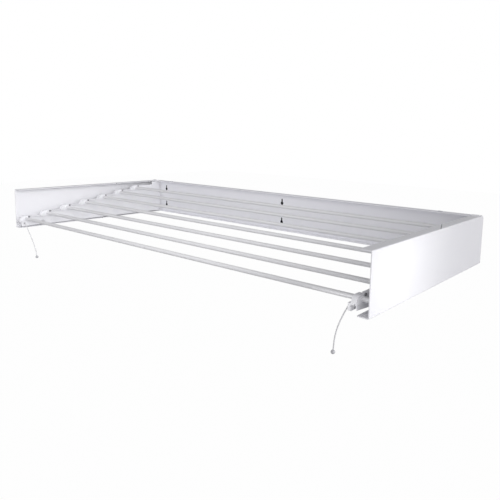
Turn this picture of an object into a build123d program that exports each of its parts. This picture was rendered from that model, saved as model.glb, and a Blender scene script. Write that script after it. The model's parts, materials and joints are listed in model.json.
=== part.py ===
"""Wall mounted fold down drying rack: a back panel and two pivot brackets stay on the wall, and a frame of
two boxed arms with seven rods swings from level, its working position, up against the wall.

Millimetres. X runs across the rack, -Y into the room and +Z up. The origin is the middle of the wall face.
"""

import math
import os

from build123d import *

os.makedirs("parts", exist_ok=True)

# Overall size and sheet
WIDTH = 1016.0
HEIGHT = 97.0
DEPTH = 451.0
SHEET = 1.5
FLANGE = 20.0
BEND = 2.0
HALF_WIDTH = WIDTH / 2
TOP = HEIGHT / 2
BOTTOM = -TOP

# Planes across one arm, as distances from the middle of the rack
COVER_INNER = HALF_WIDTH - SHEET
FLANGE_EDGE = HALF_WIDTH - FLANGE
STEP_INNER = FLANGE_EDGE - SHEET
ARM_MIDDLE = HALF_WIDTH - FLANGE / 2

# Arm pivot
PIVOT_Y = -12.0
PIVOT_Z = TOP - 8.5
PIN_R = 3.0
PIN_FIT = 0.05
BUSH_WALL = 1.5
BUSH_FLANGE_R = 6.5
CORNER_R = 11.7
ARM_BACK_TOP = PIVOT_Y + CORNER_R
ARM_BACK_BOTTOM = -0.8
BLOCK_BACK = -8.0
FLANGE_BACK = PIVOT_Y - 9.5
GAP = 0.3

# Cover seam, butted across the outer face, open across the flanges and slanted across the top one
SEAM_Y = -214.0
SEAM_SLANT = 50.0
SEAM_GAP = 3.4
SPLICE_LENGTH = 70.0
SPLICE_HEIGHT = 34.0
SPLICE_Z = BOTTOM + 26.0
TOP_NOSE_R = 5.0
BOTTOM_NOSE_R = 3.0

# Rods, numbered from the front
ROD_COUNT = 7
ROD_R = 4.0
ROD_WALL = 1.0
ROD_REACH = 500.0
ROD_1_Y = -437.8
ROD_1_Z = BOTTOM + 23.35
ROD_STEP_Y = 56.5
ROD_STEP_Z = 9.46
ROD_Y = [ROD_1_Y + ROD_STEP_Y * i for i in range(ROD_COUNT)]
ROD_Z = [ROD_1_Z + ROD_STEP_Z * i for i in range(ROD_COUNT)]
PLUG_CAP = 1.5
PLUG_DEPTH = 12.0

# Stepped inner plate
STEP_FRONT = -450.0
STEP_BOTTOM = BOTTOM + 4.0
STEP_TOP = PIVOT_Z + 5.5
STEP_RISE_Y = -35.0
STEP_TOE_Z = BOTTOM + 8.4
STEP_TOE_BACK = -392.0
NOTCH_START = 1.2
NOTCH_END = 8.8
NOTCH_DEPTH = 4.0
BUFFER_INNER = STEP_INNER - 0.5
BUFFER_OUTER = FLANGE_EDGE + 1.0

# Rod clips, saddles over the stepped plate
CLIP_INNER = STEP_INNER - 6.0
CLIP_OUTER = FLANGE_EDGE + 1.5
CLIP_TOE = 17.6
CLIP_CROWN = 5.0
CLIP_HEEL = 4.9
CLIP_HEIGHT = 11.0
CLIP_SKIRT = 2.5

# Ledges folded inwards along the treads, each from a rod's buffer to the next clip
LEDGE_START = ROD_R + NOTCH_END + GAP
LEDGE_END = ROD_STEP_Y - CLIP_TOE - GAP

# Stand-offs between the cover and the stepped plate
STANDOFF_R = 4.0
STANDOFF_Z = BOTTOM + 14.0
STANDOFF_Y = [-385.0, -290.0, -165.0, -60.0]

# Pivot bracket, a U of thicker sheet behind each arm
EAR = 2.5
EAR_INNER = 490.0
EAR_OUTER = 504.5
EAR_R = 10.5
WEB = 2.0
WEB_TOP = PIVOT_Z - 12.0
WEB_BOTTOM = BOTTOM + 3.0
EAR_FOOT = BOTTOM + 20.0
EAR_KNEE = BOTTOM + 50.0
STRAP = 2.0
RIVET_R = 2.0
RIVET_HEAD_R = 3.5
RIVET_HEAD = 1.2
RIVET_Z = [-22.0, -8.0, 6.0, 20.0]
PAD_HEIGHT = 12.0
PAD_Z = BOTTOM + 9.5

# Back panel
PANEL_BOTTOM = BOTTOM + 4.0
PANEL_END = 483.5
WEB_END = 505.0
KEYHOLE_R = 4.5
KEYHOLE_SLOT_R = 2.2
KEYHOLE_RISE = 9.5
KEYHOLE_X = [-458.0, 0.0, 458.0]
KEYHOLE_Z = [BOTTOM + 23.0, BOTTOM + 72.0]
BUMPER_X = 423.0
BUMPER_SIZE = (9.0, 6.0, 1.5)

# Release lever
LEVER_THICK = 4.5
LEVER_INNER = 474.6
LEVER_PIVOT_Y = -398.0
LEVER_PIVOT_Z = BOTTOM + 13.5
LEVER_TIP_Y = -453.0
LEVER_TIP_LOW = BOTTOM + 6.0
LEVER_TIP_HIGH = BOTTOM + 18.6
LEVER_BOSS_R = 6.0
LEVER_PIN_R = 2.5
LEVER_PIN_HEAD_R = 4.5
LEVER_PIN_HEAD = 1.5
CORD_HOLE_Y = LEVER_TIP_Y + 7.5
CORD_HOLE_Z = BOTTOM + 13.0
CORD_HOLE_R = 2.6

# Pull cords, hung from the tips of the levers
CORD_R = 1.0
BEAD_R = 3.4
KNOT_R = 2.9
CORD_SHARE = 0.45


def save(piece, name):
    """Labels a finished piece and writes it under its node name."""
    piece.part.label = name
    export_step(piece.part, f"parts/{name}.step")


def side_name(side):
    return "right" if side > 0 else "left"


def across(side, distance):
    """The plane at one distance from the middle of the rack, with its sketch axes along Y and Z."""
    return Plane.YZ.offset(side * distance)


# ---- back panel ----


def back_panel():
    """A channel open to the room, with a flat web that runs on past its flanges to carry the brackets."""
    height = TOP - PANEL_BOTTOM
    middle = (TOP + PANEL_BOTTOM) / 2
    with BuildPart() as panel:
        with BuildSketch(Plane.YZ.offset(-PANEL_END)):
            with Locations((-FLANGE / 2, middle)):
                Rectangle(FLANGE, height)
            with Locations((-(FLANGE + SHEET) / 2, middle)):
                Rectangle(FLANGE - SHEET, height - 2 * SHEET, mode=Mode.SUBTRACT)
        extrude(amount=2 * PANEL_END)
        with BuildSketch(Plane.XZ):
            with Locations((0, middle)):
                Rectangle(2 * WEB_END, height)
        extrude(amount=SHEET)
        with BuildSketch(Plane.XZ):
            for x in KEYHOLE_X:
                for z in KEYHOLE_Z:
                    with Locations((x, z)):
                        Circle(KEYHOLE_R)
                    with Locations((x, z + KEYHOLE_RISE / 2)):
                        SlotCenterToCenter(KEYHOLE_RISE, 2 * KEYHOLE_SLOT_R, rotation=90)
            for side in (-1, 1):
                for z in RIVET_Z:
                    with Locations((side * (EAR_INNER + EAR_OUTER) / 2, z)):
                        Circle(RIVET_R)
        extrude(amount=SHEET, mode=Mode.SUBTRACT)
    return panel


def panel_bumpers():
    length, width, height = BUMPER_SIZE
    with BuildPart() as bumpers:
        with Locations(*[(side * BUMPER_X, -FLANGE / 2, TOP + height / 2) for side in (-1, 1)]):
            Box(length, width, height)
        fillet(bumpers.faces().group_by(Axis.Z)[-1].edges(), 0.7)
    return bumpers


# ---- pivot bracket and what it carries ----


def end_bracket(side):
    """A web on the back panel and two ears, joined over the pivot by a strap as round as the ears."""
    width = EAR_OUTER - EAR_INNER
    with BuildPart() as bracket:
        with BuildSketch(Plane.XZ.offset(SHEET)):
            with Locations((side * (EAR_INNER + EAR_OUTER) / 2, (WEB_TOP + WEB_BOTTOM) / 2)):
                Rectangle(width, WEB_TOP - WEB_BOTTOM)
        extrude(amount=WEB)
        with BuildSketch(across(side, EAR_INNER)) as ear:
            with BuildLine():
                Polyline(
                    (-SHEET, EAR_FOOT),
                    (-SHEET - WEB, EAR_FOOT),
                    (PIVOT_Y - EAR_R, EAR_KNEE),
                    (PIVOT_Y - EAR_R, PIVOT_Z),
                    (-SHEET, PIVOT_Z),
                    close=True,
                )
            make_face()
            with Locations((PIVOT_Y, PIVOT_Z)):
                Circle(EAR_R)
            with Locations((PIVOT_Y, PIVOT_Z)):
                Circle(PIN_R + BUSH_WALL, mode=Mode.SUBTRACT)
        extrude(amount=side * EAR)
        extrude(ear.sketch.moved(Location((side * (width - EAR), 0, 0))), amount=side * EAR)
        with BuildSketch(across(side, EAR_INNER)):
            with Locations((PIVOT_Y, PIVOT_Z)):
                Circle(EAR_R)
                Circle(EAR_R - STRAP, mode=Mode.SUBTRACT)
            with Locations((PIVOT_Y, PIVOT_Z - EAR_R)):
                Rectangle(2 * EAR_R, 2 * EAR_R, mode=Mode.SUBTRACT)
        extrude(amount=side * width)
        with BuildSketch(Plane.XZ.offset(SHEET)):
            with Locations(*[(side * (EAR_INNER + EAR_OUTER) / 2, z) for z in RIVET_Z]):
                Circle(RIVET_R)
        extrude(amount=WEB, mode=Mode.SUBTRACT)
    return bracket


def pivot_bushes(side):
    """One flanged bush in each ear, with its flange on the arm's side of the ear."""
    rings = (
        (FLANGE_EDGE + GAP, EAR_INNER, BUSH_FLANGE_R),
        (EAR_INNER, EAR_INNER + EAR, PIN_R + BUSH_WALL),
        (EAR_OUTER - EAR, EAR_OUTER, PIN_R + BUSH_WALL),
        (EAR_OUTER, COVER_INNER - GAP, BUSH_FLANGE_R),
    )
    with BuildPart() as bushes:
        for start, end, radius in rings:
            with BuildSketch(across(side, start)):
                with Locations((PIVOT_Y, PIVOT_Z)):
                    Circle(radius)
                    Circle(PIN_R + PIN_FIT, mode=Mode.SUBTRACT)
            extrude(amount=side * (end - start))
    return bushes


def bracket_rivets(side):
    with BuildPart() as rivets:
        with BuildSketch(Plane.XZ):
            with Locations(*[(side * (EAR_INNER + EAR_OUTER) / 2, z) for z in RIVET_Z]):
                Circle(RIVET_R)
        extrude(amount=SHEET + WEB)
        with BuildSketch(Plane.XZ.offset(SHEET + WEB)):
            with Locations(*[(side * (EAR_INNER + EAR_OUTER) / 2, z) for z in RIVET_Z]):
                Circle(RIVET_HEAD_R)
        extrude(amount=RIVET_HEAD, taper=20)
    return rivets


def stop_pad(side):
    """The pad on the bracket that the arm's stop block rests on when the frame is level."""
    back = SHEET + WEB
    front = -BLOCK_BACK - GAP
    with BuildPart() as pad:
        with Locations((side * (EAR_INNER + EAR_OUTER) / 2, -(back + front) / 2, PAD_Z)):
            Box(EAR_OUTER - EAR_INNER - 2 * EAR - 1.0, front - back, PAD_HEIGHT)
        fillet(pad.faces().sort_by(Axis.Y)[0].edges(), 1.0)
    return pad


# ---- arms ----


def arm_cover(side, front):
    """One sheet section of an arm: an outer plate with a flange along its top and its bottom."""
    seam_inner = SEAM_Y + SEAM_SLANT
    gap = 0 if front else SEAM_GAP
    corner_start = PIVOT_Y + math.sqrt(CORNER_R**2 - (TOP - PIVOT_Z) ** 2)
    with BuildPart() as cover:
        with BuildSketch(Plane.XZ) as channel:
            with Locations((side * ARM_MIDDLE, 0)):
                Rectangle(FLANGE, HEIGHT)
            fillet(channel.vertices().group_by(Axis.X)[-1 if side > 0 else 0], BEND)
            with Locations((side * (ARM_MIDDLE - SHEET), 0)):
                Rectangle(FLANGE, HEIGHT - 2 * SHEET, mode=Mode.SUBTRACT)
        extrude(amount=DEPTH)
        # the back edge stands just off the wall, and the back top corner turns about the pivot
        with BuildSketch(across(side, FLANGE_EDGE)):
            with BuildLine():
                Polyline(
                    (ARM_BACK_TOP, PIVOT_Z),
                    (ARM_BACK_BOTTOM, BOTTOM),
                    (-DEPTH, BOTTOM),
                    (-DEPTH, TOP),
                    (corner_start, TOP),
                )
                RadiusArc((corner_start, TOP), (ARM_BACK_TOP, PIVOT_Z), CORNER_R)
            make_face()
        extrude(amount=side * FLANGE, mode=Mode.INTERSECT)
        # the flanges stop short of the bracket's ears
        with BuildSketch(Plane.XY.offset(TOP - SHEET - BEND)):
            with Locations((side * (ARM_MIDDLE - SHEET), FLANGE_BACK / 2)):
                Rectangle(FLANGE, -FLANGE_BACK)
        extrude(amount=SHEET + BEND, mode=Mode.SUBTRACT)
        # the free front corner of each flange is rounded
        for level, radius in ((TOP - SHEET, TOP_NOSE_R), (BOTTOM, BOTTOM_NOSE_R)):
            with BuildSketch(Plane.XY.offset(level)):
                with Locations((side * (FLANGE_EDGE + radius / 2), -DEPTH + radius / 2)):
                    Rectangle(radius, radius)
                with Locations((side * (FLANGE_EDGE + radius), -DEPTH + radius)):
                    Circle(radius, mode=Mode.SUBTRACT)
            extrude(amount=SHEET, mode=Mode.SUBTRACT)
        # this section's side of the seam
        far = -DEPTH if not front else 0
        with BuildSketch(Plane.XY.offset(TOP - SHEET)):
            with BuildLine():
                Polyline(
                    (side * COVER_INNER, SEAM_Y + gap),
                    (side * FLANGE_EDGE, seam_inner + gap),
                    (side * FLANGE_EDGE, far),
                    (side * COVER_INNER, far),
                    close=True,
                )
            make_face()
        extrude(amount=SHEET, mode=Mode.SUBTRACT)
        with BuildSketch(Plane.XY.offset(BOTTOM)):
            with Locations((side * (HALF_WIDTH + COVER_INNER) / 2, (SEAM_Y + far) / 2)):
                Rectangle(SHEET, abs(far - SEAM_Y))
        extrude(amount=HEIGHT, mode=Mode.SUBTRACT)
        with BuildSketch(Plane.XY.offset(BOTTOM)):
            with Locations((side * (FLANGE_EDGE + COVER_INNER) / 2, (SEAM_Y + gap + far) / 2)):
                Rectangle(COVER_INNER - FLANGE_EDGE, abs(far - SEAM_Y - gap))
        extrude(amount=SHEET + BEND, mode=Mode.SUBTRACT)
        if not front:
            with BuildSketch(across(side, COVER_INNER)):
                with Locations((PIVOT_Y, PIVOT_Z)):
                    Circle(PIN_R)
            extrude(amount=side * SHEET, mode=Mode.SUBTRACT)
    return cover


def splice_plate(side):
    """The strip welded behind the seam that makes the two cover sections one arm."""
    with BuildPart() as splice:
        with BuildSketch(across(side, COVER_INNER - SHEET)):
            with Locations((SEAM_Y, SPLICE_Z)):
                RectangleRounded(SPLICE_LENGTH, SPLICE_HEIGHT, 4.0)
        extrude(amount=side * SHEET)
    return splice


def step_plate(side):
    """The inner plate, whose top edge is a stair: each rod lies on a tread with its back to a riser. The tread
    above has a notch for the rod's buffer and behind it a ledge, folded inwards."""
    stair = []
    for y, z in zip(ROD_Y, ROD_Z):
        riser, tread, next_tread = y + ROD_R, z - ROD_R, z - ROD_R + ROD_STEP_Z
        stair += [
            (riser, tread),
            (riser, next_tread),
            (riser + NOTCH_START, next_tread),
            (riser + NOTCH_START, next_tread - NOTCH_DEPTH),
            (riser + NOTCH_END, next_tread - NOTCH_DEPTH),
            (riser + NOTCH_END, next_tread),
        ]
    with BuildPart() as plate:
        with BuildSketch(across(side, STEP_INNER)) as outline:
            with BuildLine():
                Polyline(
                    (STEP_FRONT, ROD_Z[0] - ROD_R),
                    *stair,
                    (STEP_RISE_Y, ROD_Z[-1] - ROD_R + ROD_STEP_Z),
                    (STEP_RISE_Y, STEP_TOP),
                    (PIVOT_Y, STEP_TOP),
                    (PIVOT_Y + 5.5, PIVOT_Z),
                    (BLOCK_BACK, STEP_BOTTOM),
                    (STEP_TOE_BACK, STEP_BOTTOM),
                    (STEP_FRONT, STEP_TOE_Z),
                    close=True,
                )
            make_face()
            fillet(outline.vertices().sort_by_distance((PIVOT_Y, STEP_TOP))[0], 3.0)
            for hole_y, hole_z, radius in (
                (PIVOT_Y, PIVOT_Z, PIN_R),
                (LEVER_PIVOT_Y, LEVER_PIVOT_Z, LEVER_PIN_R),
            ):
                with Locations((hole_y, hole_z)):
                    Circle(radius, mode=Mode.SUBTRACT)
        extrude(amount=side * SHEET)
        for y, z in zip(ROD_Y[:-1], ROD_Z[:-1]):
            middle_y = y + (LEDGE_START + LEDGE_END) / 2
            next_tread = z - ROD_R + ROD_STEP_Z
            with Locations((side * (CLIP_INNER + STEP_INNER) / 2, middle_y, next_tread - SHEET / 2)):
                Box(STEP_INNER - CLIP_INNER, LEDGE_END - LEDGE_START, SHEET)
    return plate


def standoffs(side):
    with BuildPart() as posts:
        with BuildSketch(across(side, FLANGE_EDGE)):
            with Locations(*[(y, STANDOFF_Z) for y in STANDOFF_Y]):
                Circle(STANDOFF_R)
        extrude(amount=side * (COVER_INNER - FLANGE_EDGE))
    return posts


def stop_block(side):
    """The block between the arm's two plates that meets the bracket's pad."""
    with BuildPart() as block:
        with BuildSketch(across(side, FLANGE_EDGE)) as outline:
            with Locations((BLOCK_BACK - 6.0, PAD_Z)):
                Rectangle(12.0, PAD_HEIGHT)
            fillet(outline.vertices(), 1.5)
        extrude(amount=side * (COVER_INNER - FLANGE_EDGE))
    return block


def pivot_pin(side):
    """A pin fixed flush in both plates of the arm and turning in the bracket's bushes."""
    with BuildPart() as pin:
        with BuildSketch(across(side, STEP_INNER)):
            with Locations((PIVOT_Y, PIVOT_Z)):
                Circle(PIN_R)
        extrude(amount=side * (HALF_WIDTH - STEP_INNER))
    return pin


# ---- rods ----


def rod(index):
    with BuildPart() as tube:
        with BuildSketch(Plane.YZ.offset(-ROD_REACH)):
            with Locations((ROD_Y[index], ROD_Z[index])):
                Circle(ROD_R)
                Circle(ROD_R - ROD_WALL, mode=Mode.SUBTRACT)
        extrude(amount=2 * ROD_REACH)
    return tube


def rod_end_plugs(side):
    """A plug in the end of each rod: a stem in the bore and a cap on the end."""
    with BuildPart() as plugs:
        for start, end, radius in (
            (ROD_REACH - PLUG_DEPTH, ROD_REACH, ROD_R - ROD_WALL),
            (ROD_REACH, ROD_REACH + PLUG_CAP, ROD_R),
        ):
            with BuildSketch(across(side, start)):
                with Locations(*zip(ROD_Y, ROD_Z)):
                    Circle(radius)
            extrude(amount=side * (end - start))
    return plugs


def rod_buffers(side):
    """A rubber buffer behind each rod, filling the notch in the tread above."""
    with BuildPart() as buffers:
        for y, z in zip(ROD_Y, ROD_Z):
            top = z - ROD_R + ROD_STEP_Z
            start, end = y + ROD_R + NOTCH_START, y + ROD_R + NOTCH_END
            with Locations((side * (BUFFER_INNER + BUFFER_OUTER) / 2, (start + end) / 2, top - NOTCH_DEPTH / 2)):
                Box(BUFFER_OUTER - BUFFER_INNER, end - start, NOTCH_DEPTH)
    return buffers


def rod_clips(side):
    """A moulded clip at each rod: a saddle over the stepped plate with a quarter round in front of the rod."""
    with BuildPart() as clips:
        for y, z in zip(ROD_Y, ROD_Z):
            tread = z - ROD_R
            toe = (y - CLIP_TOE, tread)
            crown = (y - CLIP_CROWN, tread + CLIP_HEIGHT)
            for start, end in ((CLIP_INNER, STEP_INNER), (FLANGE_EDGE, CLIP_OUTER)):
                with BuildSketch(across(side, start)):
                    with BuildLine():
                        Spline(toe, crown, tangents=[(0.35, 1.0), (1.0, 0.0)])
                        Polyline(
                            crown,
                            (y + CLIP_HEEL, tread + CLIP_HEIGHT),
                            (y + CLIP_HEEL, tread - CLIP_SKIRT),
                            (y - CLIP_TOE, tread - CLIP_SKIRT),
                            toe,
                        )
                    make_face()
                    with Locations((y, z)):
                        Circle(ROD_R, mode=Mode.SUBTRACT)
                extrude(amount=side * (end - start))
            with BuildSketch(across(side, STEP_INNER)):
                with BuildLine():
                    Spline(toe, crown, tangents=[(0.35, 1.0), (1.0, 0.0)])
                    Polyline(crown, (y - CLIP_CROWN, tread), toe)
                make_face()
            extrude(amount=side * SHEET)
    return clips


# ---- release levers ----


def release_lever(side):
    with BuildPart() as lever:
        with BuildSketch(across(side, LEVER_INNER)) as outline:
            with BuildLine():
                Polyline(
                    (LEVER_TIP_Y, LEVER_TIP_HIGH),
                    (LEVER_TIP_Y, LEVER_TIP_LOW),
                    (LEVER_PIVOT_Y, LEVER_PIVOT_Z - LEVER_BOSS_R),
                    (LEVER_PIVOT_Y, LEVER_PIVOT_Z + LEVER_BOSS_R - 1.0),
                    (ROD_1_Y + ROD_R + 4.0, ROD_1_Z - ROD_R - 1.0),
                    (ROD_1_Y - ROD_R - 4.0, ROD_1_Z - ROD_R - 0.8),
                    close=True,
                )
            make_face()
            fillet(outline.vertices().group_by(Axis.X)[0].sort_by(Axis.Y)[0], 3.0)
            fillet(outline.vertices().group_by(Axis.X)[0].sort_by(Axis.Y)[-1], 1.2)
            with Locations((LEVER_PIVOT_Y, LEVER_PIVOT_Z)):
                Circle(LEVER_BOSS_R)
                Circle(LEVER_PIN_R + PIN_FIT, mode=Mode.SUBTRACT)
            with Locations((CORD_HOLE_Y, CORD_HOLE_Z)):
                RegularPolygon(CORD_HOLE_R, 6, mode=Mode.SUBTRACT)
        extrude(amount=side * LEVER_THICK)
    return lever


def lever_pin(side):
    """A headed pin fixed in the stepped plate, with a shoulder that spaces the lever off the plate."""
    head_start = LEVER_INNER - GAP - LEVER_PIN_HEAD
    with BuildPart() as pin:
        for start, end, radius in (
            (head_start, LEVER_INNER - GAP, LEVER_PIN_HEAD_R),
            (LEVER_INNER - GAP, FLANGE_EDGE, LEVER_PIN_R),
            (LEVER_INNER + LEVER_THICK + GAP, STEP_INNER, LEVER_PIN_R + 1.5),
        ):
            with BuildSketch(across(side, start)):
                with Locations((LEVER_PIVOT_Y, LEVER_PIVOT_Z)):
                    Circle(radius)
            extrude(amount=side * (end - start))
    return pin


# ---- pull cords ----

CORD_EXIT = LEVER_INNER + LEVER_THICK
CORD_LINE = [
    (CORD_EXIT, CORD_HOLE_Y, CORD_HOLE_Z),
    (472.4, CORD_HOLE_Y, CORD_HOLE_Z),
    (467.4, -443.9, -43.5),
    (462.4, -442.9, -52.5),
    (455.8, -441.1, -65.0),
    (449.3, -438.7, -80.0),
    (443.6, -435.5, -98.5),
    (441.8, -434.3, -115.0),
]


def corner_radii(points):
    """The largest arc at each corner of a route that leaves a straight middle in both of its runs."""
    radii = []
    for before, corner, after in zip(points, points[1:], points[2:]):
        into = Vector(corner) - Vector(before)
        out = Vector(after) - Vector(corner)
        half_turn = math.radians(into.get_angle(out)) / 2
        radii.append(CORD_SHARE * min(into.length, out.length) / math.tan(half_turn))
    return radii


def pull_cord(side):
    points = [(side * x, y, z) for x, y, z in CORD_LINE]
    radii = corner_radii(points)
    with BuildPart() as cord:
        with BuildLine() as path:
            FilletPolyline(*points, radius=radii)
        with BuildSketch(Plane(origin=points[0], z_dir=path.wires()[0] % 0)):
            Circle(CORD_R)
        sweep()
    length = path.wires()[0].length
    print(side_name(side), "cord radii", [round(r, 1) for r in radii])
    print(side_name(side), "cord length", round(length, 1), "volume", round(cord.part.volume, 1))
    print(side_name(side), "section times length", round(math.pi * CORD_R**2 * length, 1))
    return cord


def cord_knot(side):
    """The knot that holds the cord in the lever's hole, flat where it bears on the lever."""
    with BuildPart() as knot:
        with Locations((side * CORD_EXIT, CORD_HOLE_Y, CORD_HOLE_Z)):
            Sphere(KNOT_R)
        split(bisect_by=across(side, CORD_EXIT), keep=Keep.TOP if side > 0 else Keep.BOTTOM)
    return knot


def cord_bead(side):
    end = Vector(CORD_LINE[-1])
    centre = end + (end - Vector(CORD_LINE[-2])).normalized() * BEAD_R
    with BuildPart() as bead:
        with Locations((side * centre.X, centre.Y, centre.Z)):
            Sphere(BEAD_R)
    return bead


# ---- write every node ----

save(back_panel(), "back_panel")
save(panel_bumpers(), "panel_bumpers")
for index in range(ROD_COUNT):
    save(rod(index), f"rod_{index + 1}")
for side in (-1, 1):
    name = side_name(side)
    save(end_bracket(side), f"{name}_end_bracket")
    save(pivot_bushes(side), f"{name}_pivot_bushes")
    save(bracket_rivets(side), f"{name}_bracket_rivets")
    save(stop_pad(side), f"{name}_stop_pad")
    save(arm_cover(side, front=True), f"{name}_front_cover")
    save(arm_cover(side, front=False), f"{name}_rear_cover")
    save(splice_plate(side), f"{name}_splice_plate")
    save(step_plate(side), f"{name}_step_plate")
    save(standoffs(side), f"{name}_standoffs")
    save(stop_block(side), f"{name}_stop_block")
    save(pivot_pin(side), f"{name}_pivot_pin")
    save(rod_end_plugs(side), f"{name}_rod_end_plugs")
    save(rod_clips(side), f"{name}_rod_clips")
    save(rod_buffers(side), f"{name}_rod_buffers")
    save(release_lever(side), f"{name}_release_lever")
    save(lever_pin(side), f"{name}_lever_pin")
    save(pull_cord(side), f"{name}_pull_cord")
    save(cord_knot(side), f"{name}_cord_knot")
    save(cord_bead(side), f"{name}_cord_bead")
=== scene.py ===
"""Looks for the wall mounted fold down drying rack. Metres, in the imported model's own frame."""

import json
import math

import bmesh
import bpy
from mathutils import Matrix, Vector


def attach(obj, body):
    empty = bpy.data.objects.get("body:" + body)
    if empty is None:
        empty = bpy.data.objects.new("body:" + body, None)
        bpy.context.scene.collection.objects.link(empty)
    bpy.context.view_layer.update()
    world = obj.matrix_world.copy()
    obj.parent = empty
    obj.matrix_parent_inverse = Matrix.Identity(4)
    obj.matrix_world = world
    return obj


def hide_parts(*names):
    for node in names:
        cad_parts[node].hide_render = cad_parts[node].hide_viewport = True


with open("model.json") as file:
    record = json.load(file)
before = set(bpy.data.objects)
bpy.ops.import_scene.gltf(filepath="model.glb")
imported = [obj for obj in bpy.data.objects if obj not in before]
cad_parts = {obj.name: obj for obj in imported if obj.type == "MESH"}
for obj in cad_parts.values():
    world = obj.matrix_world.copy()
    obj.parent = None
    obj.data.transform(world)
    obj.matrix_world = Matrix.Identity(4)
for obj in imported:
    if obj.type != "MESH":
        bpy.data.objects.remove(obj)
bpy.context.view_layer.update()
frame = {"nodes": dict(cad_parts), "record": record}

SIDES = (("left", -1), ("right", 1))


# ---- materials ----


class Shader:
    """A Principled material and short calls that wire nodes into it."""

    def __init__(self, name, color, roughness, metallic=0.0, specular=0.5):
        self.material = bpy.data.materials.new(name)
        self.material.use_nodes = True
        self.tree = self.material.node_tree
        self.surface = self.tree.nodes["Principled BSDF"]
        self.color = color
        self.surface.inputs["Base Color"].default_value = (*color, 1)
        self.surface.inputs["Roughness"].default_value = roughness
        self.surface.inputs["Metallic"].default_value = metallic
        self.surface.inputs["Specular IOR Level"].default_value = specular
        self.place = self.tree.nodes.new("ShaderNodeTexCoord").outputs["Object"]
        self.bumps = None

    def node(self, kind, **settings):
        made = self.tree.nodes.new(kind)
        for key, value in settings.items():
            setattr(made, key, value)
        return made

    def link(self, start, end):
        self.tree.links.new(start, end)

    def stretched(self, scale):
        """The object's own coordinates, scaled along each axis."""
        mapping = self.node("ShaderNodeMapping")
        mapping.inputs["Scale"].default_value = scale
        self.link(self.place, mapping.inputs["Vector"])
        return mapping.outputs["Vector"]

    def noise(self, scale, detail=2.0, stretch=(1, 1, 1), rough=0.5):
        texture = self.node("ShaderNodeTexNoise")
        texture.inputs["Scale"].default_value = scale
        texture.inputs["Detail"].default_value = detail
        texture.inputs["Roughness"].default_value = rough
        self.link(self.stretched(stretch), texture.inputs["Vector"])
        return texture.outputs["Fac"]

    def wave(self, scale, direction, distortion=0.0, stretch=(1, 1, 1)):
        texture = self.node("ShaderNodeTexWave", wave_type="BANDS", bands_direction=direction)
        texture.inputs["Scale"].default_value = scale
        texture.inputs["Distortion"].default_value = distortion
        self.link(self.stretched(stretch), texture.inputs["Vector"])
        return texture.outputs["Fac"]

    def between(self, factor, low, high, start=0.3, stop=0.7):
        """A value that runs from low to high as factor goes from start to stop."""
        span = self.node("ShaderNodeMapRange")
        for key, value in (("From Min", start), ("From Max", stop), ("To Min", low), ("To Max", high)):
            span.inputs[key].default_value = value
        self.link(factor, span.inputs["Value"])
        return span.outputs["Result"]

    def vary_color(self, factor, other, amount=1.0):
        mix = self.node("ShaderNodeMix", data_type="RGBA")
        mix.inputs[6].default_value = (*self.color, 1)
        mix.inputs[7].default_value = (*other, 1)
        self.link(self.between(factor, 0.0, amount), mix.inputs[0])
        self.link(mix.outputs[2], self.surface.inputs["Base Color"])

    def vary_roughness(self, factor, low, high):
        self.link(self.between(factor, low, high), self.surface.inputs["Roughness"])

    def bump(self, height, distance, strength=1.0):
        made = self.node("ShaderNodeBump")
        made.inputs["Distance"].default_value = distance
        made.inputs["Strength"].default_value = strength
        self.link(height, made.inputs["Height"])
        if self.bumps:
            self.link(self.bumps, made.inputs["Normal"])
        self.bumps = made.outputs["Normal"]
        self.link(self.bumps, self.surface.inputs["Normal"])


def powder_coat(name, color, shade):
    """Satin powder paint: a fine orange peel over a slow drift in tone."""
    paint = Shader(name, color, 0.42, specular=0.4)
    paint.vary_color(paint.noise(9.0, 3.0), shade, 0.5)
    paint.vary_roughness(paint.noise(60.0, 3.0), 0.38, 0.5)
    paint.bump(paint.noise(900.0, 2.0), 0.00005, 0.5)
    paint.bump(paint.noise(220.0, 1.0), 0.00006, 0.35)
    return paint.material


def drawn_tube(name, color, shade):
    """Drawn tube: long fine draw lines along the rod, with a slow cloud in the polish."""
    metal = Shader(name, color, 0.45, metallic=0.25)
    lines = metal.noise(1.0, 4.0, stretch=(3.0, 900.0, 900.0), rough=0.6)
    metal.vary_color(lines, shade, 0.6)
    metal.vary_roughness(metal.noise(14.0, 3.0), 0.42, 0.56)
    metal.bump(lines, 0.00004, 0.35)
    return metal.material


def zinc_plate(name, color, shade):
    """Zinc plate: a faint crystalline mottle."""
    metal = Shader(name, color, 0.38, metallic=0.9)
    metal.vary_color(metal.noise(160.0, 4.0, rough=0.65), shade, 0.8)
    metal.vary_roughness(metal.noise(90.0, 3.0), 0.3, 0.5)
    metal.bump(metal.noise(500.0, 2.0), 0.00003, 0.4)
    return metal.material


def turned_steel(name, color, shade):
    """Turned steel: fine rings about the pin's axis, which runs along X."""
    metal = Shader(name, color, 0.3, metallic=1.0)
    rings = metal.wave(1.0, "X", stretch=(2600.0, 1.0, 1.0))
    metal.vary_color(rings, shade, 0.5)
    metal.bump(rings, 0.00003, 0.3)
    return metal.material


def moulded(name, color, shade, roughness=0.4, grain=0.00004):
    """Moulded plastic or rubber: a soft tone drift under a fine spark-eroded grain."""
    plastic = Shader(name, color, roughness, specular=0.45)
    plastic.vary_color(plastic.noise(30.0, 3.0), shade, 0.6)
    plastic.vary_roughness(plastic.noise(120.0, 3.0), roughness - 0.06, roughness + 0.08)
    plastic.bump(plastic.noise(1400.0, 2.0), grain, 0.5)
    return plastic.material


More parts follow.
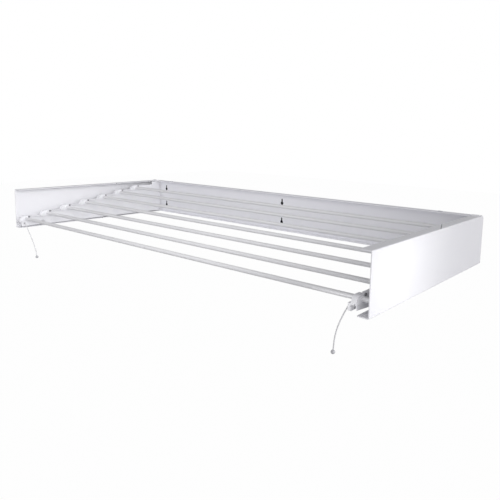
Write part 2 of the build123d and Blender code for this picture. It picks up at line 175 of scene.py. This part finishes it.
def braid(name, color, shade):
    """Braided cord: two crossing sets of plaits."""
    thread = Shader(name, color, 0.75, specular=0.3)
    one = thread.wave(1.0, "DIAGONAL", stretch=(900.0, 900.0, 900.0))
    two = thread.wave(1.0, "DIAGONAL", stretch=(-900.0, 900.0, 900.0))
    product = thread.node("ShaderNodeMath", operation="MULTIPLY")
    thread.link(one, product.inputs[0])
    thread.link(two, product.inputs[1])
    thread.vary_color(product.outputs[0], shade, 0.9)
    thread.bump(product.outputs[0], 0.0002, 0.8)
    thread.surface.inputs["Sheen Weight"].default_value = 0.3
    return thread.material


WHITE_COAT = powder_coat("white_coat", (0.84, 0.84, 0.86), (0.79, 0.79, 0.82))
PANEL_COAT = powder_coat("panel_coat", (0.87, 0.87, 0.90), (0.83, 0.83, 0.87))
ROD_METAL = drawn_tube("rod_metal", (0.79, 0.79, 0.80), (0.73, 0.73, 0.74))
ZINC = zinc_plate("zinc", (0.62, 0.63, 0.66), (0.48, 0.50, 0.54))
STEEL = turned_steel("pin_steel", (0.78, 0.78, 0.8), (0.66, 0.66, 0.68))
NYLON = moulded("nylon", (0.80, 0.79, 0.75), (0.73, 0.72, 0.67))
# Dark grey rubber for the pads. The flange seam strips also take this colour, as painted shade in the gaps.
RUBBER_AND_SEAM_SHADE = moulded("pad_rubber", (0.27, 0.27, 0.285), (0.31, 0.31, 0.325), roughness=0.62)
BUMPER = moulded("bumper", (0.55, 0.55, 0.58), (0.48, 0.48, 0.51), roughness=0.3)
PLUG = moulded("plug", (0.78, 0.78, 0.8), (0.7, 0.7, 0.73))
CLIP = moulded("clip_plastic", (0.85, 0.85, 0.87), (0.79, 0.79, 0.82), roughness=0.4)
CORD = braid("cord", (0.75, 0.75, 0.76), (0.64, 0.64, 0.66))
BEAD = moulded("bead", (0.50, 0.50, 0.52), (0.44, 0.44, 0.46), roughness=0.2, grain=0.00001)

MATERIAL_OF_SLOT = {
    "white_coat": WHITE_COAT,
    "panel_coat": PANEL_COAT,
    "rod_metal": ROD_METAL,
    "zinc": ZINC,
    "pin_steel": STEEL,
    "nylon": NYLON,
    "pad_rubber": RUBBER_AND_SEAM_SHADE,
    "bumper": BUMPER,
    "plug": PLUG,
    "clip_plastic": CLIP,
    "cord": CORD,
    "bead": BEAD,
}

SHEET_SLOTS = ("white_coat", "panel_coat")
SHEET_ROUNDING = 0.0002
MOULDED_SLOTS = ("clip_plastic", "nylon", "pad_rubber", "plug")
MOULDED_ROUNDING = 0.0005
SHARP_ANGLE = math.radians(50)


def round_edges(node, width, segments):
    """A narrow rounding on the sharp edges of a CAD node, so that they catch the light."""
    bevel = node.modifiers.new("edge_rounding", "BEVEL")
    bevel.width = width
    bevel.segments = segments
    bevel.limit_method = "ANGLE"
    bevel.angle_limit = SHARP_ANGLE
    bevel.harden_normals = True


def finish_cad_nodes():
    """Gives every CAD node its material, and the sheet and the moulded ones their rounded edges."""
    for part in frame["record"]["subparts"]:
        node = frame["nodes"][part["node"]]
        slot = part["material_slot"]
        node.data.materials.clear()
        node.data.materials.append(MATERIAL_OF_SLOT[slot])
        if slot in SHEET_SLOTS:
            round_edges(node, SHEET_ROUNDING, segments=2)
        if slot in MOULDED_SLOTS:
            round_edges(node, MOULDED_ROUNDING, segments=3)


finish_cad_nodes()


# ---- small details ----

# Corners of the slanted seam in each arm's top flange and of the straight one in its bottom flange
SEAM_OUTER = (0.5064, -0.2140)
SEAM_INNER = (0.4881, -0.1640)
SEAM_WIDTH = 0.0034
TOP_LEVELS = (0.0471, 0.0484)
BOTTOM_LEVELS = (-0.0484, -0.0471)
RIB_Y = (-0.4350, -0.4305, -0.4260, -0.4215)
RIB_WIDTH = 0.0014
RIB_LEVELS = (-0.0390, -0.0335)
RIB_X = (0.4740, 0.4749)
EYELET_CENTRE = (0.4746, -0.4455, -0.0355)
EYELET_R = 0.0031
EYELET_THICK_R = 0.0005


def add_prism(mesh, outline, levels):
    """A closed prism over an outline of (x, y) corners, between two levels in Z."""
    rings = [[mesh.verts.new((x, y, z)) for x, y in outline] for z in levels]
    mesh.faces.new(rings[0][::-1])
    mesh.faces.new(rings[1])
    for i in range(len(outline)):
        j = (i + 1) % len(outline)
        mesh.faces.new((rings[0][i], rings[0][j], rings[1][j], rings[1][i]))


def add_ring(mesh, centre, radius, thick_radius, around=32, across=10):
    """A round ring about an axis along X."""
    corners = []
    for i in range(around):
        turn = math.tau * i / around
        for j in range(across):
            roll = math.tau * j / across
            out = radius + thick_radius * math.cos(roll)
            spot = (thick_radius * math.sin(roll), out * math.cos(turn), out * math.sin(turn))
            corners.append(mesh.verts.new(Vector(centre) + Vector(spot)))
    for i in range(around):
        for j in range(across):
            k, m = (i + 1) % around, (j + 1) % across
            mesh.faces.new([corners[a * across + b] for a, b in ((i, j), (k, j), (k, m), (i, m))])


def add_detail(name, mesh, body, slot):
    """Makes an object of a bmesh, gives it the material of its slot, and hangs it on its body."""
    bmesh.ops.recalc_face_normals(mesh, faces=mesh.faces)
    data = bpy.data.meshes.new(name)
    mesh.to_mesh(data)
    mesh.free()
    detail = bpy.data.objects.new(name, data)
    bpy.context.scene.collection.objects.link(detail)
    data.materials.append(MATERIAL_OF_SLOT[slot])
    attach(detail, body)


def seam_shade_strips(side, sign):
    """Dark strips that fill the open seams of an arm's flanges: painted shade for the shadow inside the gaps.
    """
    (outer_x, outer_y), (inner_x, inner_y) = SEAM_OUTER, SEAM_INNER
    slanted = [(outer_x, outer_y), (outer_x, outer_y + SEAM_WIDTH)]
    slanted += [(inner_x, inner_y + SEAM_WIDTH), (inner_x, inner_y)]
    straight = [(outer_x, outer_y), (outer_x, outer_y + SEAM_WIDTH)]
    straight += [(inner_x, outer_y + SEAM_WIDTH), (inner_x, outer_y)]
    # Painted shade: these strips take the dark grey of the rubber slot to stand in for the shadow in the seam
    # gaps.
    shade_fill = bmesh.new()
    add_prism(shade_fill, [(sign * x, y) for x, y in slanted], TOP_LEVELS)
    add_prism(shade_fill, [(sign * x, y) for x, y in straight], BOTTOM_LEVELS)
    add_detail(f"{side}_seam_shade_strips", shade_fill, "fold_frame", "pad_rubber")


def lever_grip(side, sign):
    """Finger ribs on a release lever's inner face, and a round lip where the cord leaves it."""
    x, y, z = EYELET_CENTRE
    grip = bmesh.new()
    for rib in RIB_Y:
        outline = [(sign * RIB_X[0], rib), (sign * RIB_X[1], rib)]
        outline += [(sign * RIB_X[1], rib + RIB_WIDTH), (sign * RIB_X[0], rib + RIB_WIDTH)]
        add_prism(grip, outline, RIB_LEVELS)
    add_ring(grip, (sign * x, y, z), EYELET_R, EYELET_THICK_R)
    add_detail(f"{side}_lever_grip", grip, f"{side}_lever", "clip_plastic")


for side_name, side_sign in SIDES:
    seam_shade_strips(side_name, side_sign)
    lever_grip(side_name, side_sign)


# ---- pull cords ----

CORD_DIAMETER = 0.002
CORD_LINE = [
    (0.4791, -0.4455, -0.0355),
    (0.4724, -0.4455, -0.0355),
    (0.4674, -0.4439, -0.0435),
    (0.4624, -0.4429, -0.0525),
    (0.4558, -0.4411, -0.0650),
    (0.4493, -0.4387, -0.0800),
    (0.4436, -0.4355, -0.0985),
    (0.4418, -0.4343, -0.1150),
]


def pull_cord(side, sign):
    """A braided cord along the route of the CAD cord, which it replaces."""
    curve = bpy.data.curves.new(f"{side}_pull_cord_line", "CURVE")
    curve.dimensions = "3D"
    curve.bevel_depth = CORD_DIAMETER / 2
    curve.bevel_resolution = 4
    curve.use_fill_caps = True
    route = [(sign * x, y, z) for x, y, z in CORD_LINE]
    spline = curve.splines.new("NURBS")
    spline.points.add(len(route) - 1)
    for point, place in zip(spline.points, route):
        point.co = (*place, 1)
    spline.order_u = 3
    spline.use_endpoint_u = True
    spline.resolution_u = 12
    cord = bpy.data.objects.new(f"{side}_pull_cord_braid", curve)
    bpy.context.scene.collection.objects.link(cord)
    cord.data.materials.append(CORD)
    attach(cord, f"{side}_lever")
    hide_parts(f"{side}_pull_cord")


for side_name, side_sign in SIDES:
    pull_cord(side_name, side_sign)


# ---- camera, light and floor ----

# Sensor and lens in millimetres, the lens shifts in image widths, the angles in radians
SENSOR_WIDTH = 36
LENS = 38.80692
SHIFT_X = -0.03805
SHIFT_Y = -0.080918
PITCH = -0.142
YAW = -0.688
ROLL = 0.02
CAMERA_PLACE = Vector((0.8511, -1.0891, 0.2036))
AMBIENT = 0.71
AMBIENT_SLOPE = (0.5, -0.28, -0.24)
AMBIENT_LEAST = 0.05
GLOW_FROM_RIGHT = 0.7
GLOW_TIGHTNESS = 6.0
COOL_TINT = (1.0, 0.996, 1.02, 1.0)
PLAIN_WHITE = (1, 1, 1, 1)
FLOOR_REACH = 12.0
FLOOR_LEVEL = -1.1
FLOOR_GLOW_SHARE = 0.98

# Each light's name, place, target, size, watts and spread in degrees
LIGHTS = (
    ("key", (0.66, -0.37, 0.0), (0.508, -0.37, 0), (0.16, 0.2), 0.16, 180),
    ("fill", (0.3, -0.8, 0.3), (-0.477, -0.25, 0), (0.5, 0.3), 1.15, 115),
    ("accent", (0.38, -0.6, -0.05), (0.476, -0.45, -0.035), (0.05, 0.05), 0.008, 60),
)


def place_camera():
    """A camera to the front right of the rack that looks slightly down on it."""
    forward = Vector((math.sin(YAW) * math.cos(PITCH), math.cos(YAW) * math.cos(PITCH), math.sin(PITCH)))
    level = Vector((math.cos(YAW), -math.sin(YAW), 0))
    upright = level.cross(forward)
    right = math.cos(ROLL) * level + math.sin(ROLL) * upright
    up = -math.sin(ROLL) * level + math.cos(ROLL) * upright
    camera = bpy.data.objects.new("camera", bpy.data.cameras.new("camera"))
    bpy.context.scene.collection.objects.link(camera)
    turn = Matrix((right, up, -forward)).transposed().to_4x4()
    camera.matrix_world = Matrix.Translation(CAMERA_PLACE) @ turn
    camera.data.sensor_width = SENSOR_WIDTH
    camera.data.lens = LENS
    camera.data.shift_x = SHIFT_X
    camera.data.shift_y = SHIFT_Y
    camera.data.clip_start = 0.01
    bpy.context.scene.camera = camera


def soft_light(name, place, target, size, power, spread):
    """A rectangular area light that the camera doesn't see."""
    light = bpy.data.lights.new(name, "AREA")
    light.shape = "RECTANGLE"
    light.size, light.size_y = size
    light.energy = power
    light.spread = math.radians(spread)
    lamp = bpy.data.objects.new(name, light)
    lamp.location = place
    lamp.visible_camera = False
    lamp.rotation_euler = (Vector(target) - Vector(place)).to_track_quat("-Z", "Y").to_euler()
    bpy.context.scene.collection.objects.link(lamp)


def build_floor():
    """A pale floor far below the rack. To the camera it glows white, and so runs into the background."""
    signs = ((-1, -1), (1, -1), (1, 1), (-1, 1))
    corners = [(FLOOR_REACH * across, FLOOR_REACH * along, FLOOR_LEVEL) for across, along in signs]
    floor_mesh = bpy.data.meshes.new("floor")
    floor_mesh.from_pydata(corners, [], [(0, 1, 2, 3)])
    floor = bpy.data.objects.new("floor", floor_mesh)
    bpy.context.scene.collection.objects.link(floor)
    paint = Shader("floor_paint", (0.78, 0.78, 0.785), 0.8, specular=0.1)
    glow = paint.node("ShaderNodeEmission")
    seen = paint.node("ShaderNodeLightPath")
    share = paint.node("ShaderNodeMapRange")
    share.inputs["To Max"].default_value = FLOOR_GLOW_SHARE
    blend = paint.node("ShaderNodeMixShader")
    paint.link(seen.outputs["Is Camera Ray"], share.inputs["Value"])
    paint.link(share.outputs["Result"], blend.inputs[0])
    paint.link(paint.surface.outputs[0], blend.inputs[1])
    paint.link(glow.outputs[0], blend.inputs[2])
    paint.link(blend.outputs[0], paint.tree.nodes["Material Output"].inputs["Surface"])
    floor.data.materials.append(paint.material)


KEYHOLE_PLACES = [(x, z) for x in (-0.458, 0.0, 0.458) for z in (-0.0255, 0.0235)]
KEYHOLE_ROUND_R = 0.00445
KEYHOLE_SLOT_R = 0.00215
KEYHOLE_RISE = 0.0095
KEYHOLE_CARD_Y = -0.0009
KEYHOLE_ARC_STEPS = 24


def build_keyhole_cards():
    """A dark card in each keyhole, in place of the unlit wall behind it."""
    shade = Shader("card_shade", (0.02, 0.02, 0.022), 0.9, specular=0.1)
    start = math.acos(KEYHOLE_SLOT_R / KEYHOLE_ROUND_R)
    steps = KEYHOLE_ARC_STEPS
    cards = bmesh.new()
    for x, z in KEYHOLE_PLACES:
        outline = []
        for i in range(steps + 1):
            turn = math.pi - start + (math.pi + 2 * start) * i / steps
            outline.append((x + KEYHOLE_ROUND_R * math.cos(turn), z + KEYHOLE_ROUND_R * math.sin(turn)))
        for i in range(steps + 1):
            turn = math.pi * i / steps
            across, rise = KEYHOLE_SLOT_R * math.cos(turn), KEYHOLE_SLOT_R * math.sin(turn)
            outline.append((x + across, z + KEYHOLE_RISE + rise))
        cards.faces.new([cards.verts.new((u, KEYHOLE_CARD_Y, v)) for u, v in outline])
    mesh = bpy.data.meshes.new("keyhole_cards")
    cards.to_mesh(mesh)
    cards.free()
    mesh.materials.append(shade.material)
    backing = bpy.data.objects.new("keyhole_cards", mesh)
    bpy.context.scene.collection.objects.link(backing)


def build_world():
    """A backdrop, white to the camera, that lights the object most from the right and least from the left."""
    world = bpy.data.worlds.new("studio")
    bpy.context.scene.world = world
    world.use_nodes = True
    nodes, links = world.node_tree.nodes, world.node_tree.links
    way = nodes.new("ShaderNodeTexCoord").outputs["Generated"]

    def toward(direction):
        lean = nodes.new("ShaderNodeVectorMath")
        lean.operation = "DOT_PRODUCT"
        lean.inputs[1].default_value = direction
        links.new(way, lean.inputs[0])
        return lean.outputs["Value"]

    def calculate(operation, first, second):
        step = nodes.new("ShaderNodeMath")
        step.operation = operation
        links.new(first, step.inputs[0])
        if isinstance(second, float):
            step.inputs[1].default_value = second
        else:
            links.new(second, step.inputs[1])
        return step.outputs[0]

    slope = calculate("ADD", toward(AMBIENT_SLOPE), AMBIENT)
    glow = calculate("POWER", calculate("MAXIMUM", toward((1.0, 0.0, 0.0)), 0.0), GLOW_TIGHTNESS)
    ambient = calculate("MAXIMUM", slope, AMBIENT_LEAST)
    level = calculate("ADD", ambient, calculate("MULTIPLY", glow, GLOW_FROM_RIGHT))
    seen = nodes.new("ShaderNodeLightPath")
    strength = nodes.new("ShaderNodeMix")
    strength.inputs[3].default_value = 1.0
    links.new(seen.outputs["Is Camera Ray"], strength.inputs[0])
    links.new(level, strength.inputs[2])
    links.new(strength.outputs[0], nodes["Background"].inputs["Strength"])
    tint = nodes.new("ShaderNodeMix")
    tint.data_type = "RGBA"
    tint.inputs[6].default_value = COOL_TINT
    tint.inputs[7].default_value = PLAIN_WHITE
    links.new(seen.outputs["Is Camera Ray"], tint.inputs[0])
    links.new(tint.outputs[2], nodes["Background"].inputs["Color"])


def build_stage():
    build_floor()
    build_keyhole_cards()
    build_world()
    for light in LIGHTS:
        soft_light(*light)


place_camera()
build_stage()
bpy.context.scene.view_settings.view_transform = "Standard"
